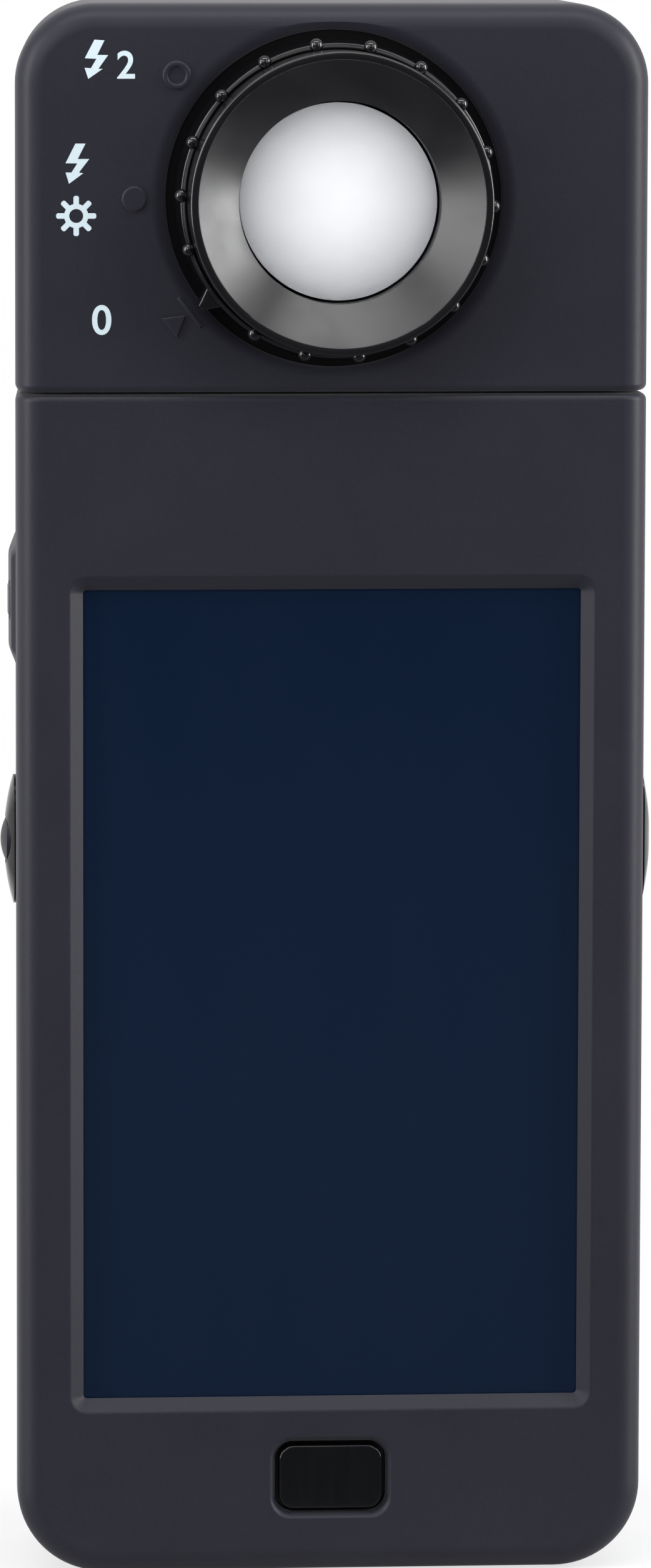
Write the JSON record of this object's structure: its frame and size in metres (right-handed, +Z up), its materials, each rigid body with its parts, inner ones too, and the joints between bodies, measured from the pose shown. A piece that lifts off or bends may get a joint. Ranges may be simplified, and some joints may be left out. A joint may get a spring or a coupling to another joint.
{
  "type": "handheld light spectrometer",
  "caption": "Handheld light spectrometer: slim upright case with touch screen and side keys, and a swivelling head whose turning selector ring surrounds a white light diffuser dome.",
  "frame": {"origin": "middle of the flat lower end that the instrument stands on", "axes": "+Z up the length of the instrument towards the head, -Y out of the screen and the light receptor, +X to the right of somebody reading the screen"},
  "size_m": [0.0761, 0.04, 0.183],
  "materials": {
    "case_plastic": "soft-touch coated ABS, matte charcoal",
    "cover_glass": "polished touch glass over a dark display",
    "display_panel": "unlit liquid crystal panel in a black frame",
    "circuit_board": "green solder resist on glass-epoxy board",
    "black_component": "matte black moulding that kills stray light",
    "gloss_black": "piano-black polished moulding",
    "key_plastic": "fine matte moulding",
    "ring_plastic": "satin black moulding",
    "diffuser_white": "translucent opal plastic",
    "bearing_plastic": "natural acetal",
    "soft_rubber": "matte black elastomer",
    "cell_sleeve": "plain coloured sleeve on a steel can",
    "steel": "turned and stamped steel",
    "nickel": "nickel-plated sheet",
    "brass": "turned brass",
    "mirror_coat": "aluminised optical surface",
    "filter_glass": "grey neutral-density glass",
    "pad_print": "pale pad-printed ink on the head, a finish for printed figures only"
  },
  "bodies": {
    "body": {"body_front_shell": "case_plastic", "body_rear_shell": "case_plastic", "touch_glass": "cover_glass", "display_module": "display_panel", "main_board": "circuit_board", "buzzer": "black_component", "home_switch": "steel", "power_switch": "steel", "memory_switch": "steel", "measure_switch": "steel", "memory_bezel": "gloss_black", "battery_tray": "black_component", "battery_left": "cell_sleeve", "battery_right": "cell_sleeve", "contact_bridge": "nickel", "contact_spring": "nickel", "contact_button": "nickel", "usb_socket": "nickel", "sync_socket": "brass", "tripod_bush": "steel", "strap_bar": "steel", "body_screw_1": "steel", "body_screw_2": "steel", "body_screw_3": "steel", "body_screw_4": "steel", "swivel_bush": "bearing_plastic", "swivel_washer": "steel", "neck_cable": "black_component"},
    "head": {"head_front_shell": "case_plastic", "head_rear_shell": "case_plastic", "head_screw_1": "steel", "head_screw_2": "steel", "head_screw_3": "steel", "head_screw_4": "steel", "swivel_neck": "steel", "swivel_stop": "steel", "swivel_clip": "steel", "diffuser_dome": "diffuser_white", "receptor_barrel": "diffuser_white", "receptor_base": "black_component", "detent_spring": "steel", "slit_plate": "nickel", "optical_bench": "black_component", "fold_mirror": "mirror_coat", "concave_grating": "mirror_coat", "line_sensor": "black_component", "sensor_board": "circuit_board"},
    "ring": {"selector_ring": "ring_plastic", "ring_clip": "steel", "aperture_disc": "black_component", "density_filter": "filter_glass"},
    "home_key": {"home_button": "gloss_black"},
    "power_key": {"power_button": "key_plastic"},
    "memory_key": {"memory_button": "key_plastic"},
    "measure_key": {"measure_button": "gloss_black"},
    "cover": {"battery_cover": "case_plastic"},
    "usb_flap": {"usb_cap": "soft_rubber"},
    "sync_plug": {"sync_cap": "soft_rubber"}
  },
  "joints": [
    {"name": "head_swivel", "type": "hinge", "parent": "body", "child": "head", "pos_m": [0, 0, 0.13825], "axis": [0, 0, 1], "range_deg": [-90, 180]},
    {"name": "ring_turn", "type": "hinge", "parent": "head", "child": "ring", "pos_m": [0, -0.0135, 0.16066], "axis": [0, 1, 0], "range_deg": [0, 76]},
    {"name": "home_press", "type": "slide", "parent": "body", "child": "home_key", "axis": [0, 1, 0], "range_m": [0, 0.0005], "stiffness_N_per_m": 400, "springref_m": -0.002},
    {"name": "power_press", "type": "slide", "parent": "body", "child": "power_key", "axis": [1, 0, 0], "range_m": [0, 0.0005], "stiffness_N_per_m": 400, "springref_m": -0.002},
    {"name": "memory_press", "type": "slide", "parent": "body", "child": "memory_key", "axis": [1, 0, 0], "range_m": [0, 0.0005], "stiffness_N_per_m": 400, "springref_m": -0.002},
    {"name": "measure_press", "type": "slide", "parent": "body", "child": "measure_key", "axis": [-1, 0, 0], "range_m": [0, 0.0005], "stiffness_N_per_m": 400, "springref_m": -0.002},
    {"name": "cover_swing", "type": "hinge", "parent": "body", "child": "cover", "pos_m": [0, 0.0124, 0.0629], "axis": [-1, 0, 0], "range_deg": [0, 100]},
    {"name": "usb_flap_swing", "type": "hinge", "parent": "body", "child": "usb_flap", "pos_m": [0.0353, -0.0035, 0.0247], "axis": [0, 1, 0], "range_deg": [0, 95]},
    {"name": "sync_plug_pull", "type": "slide", "parent": "body", "child": "sync_plug", "axis": [1, 0, 0], "range_m": [0, 0.006]}
  ]
}
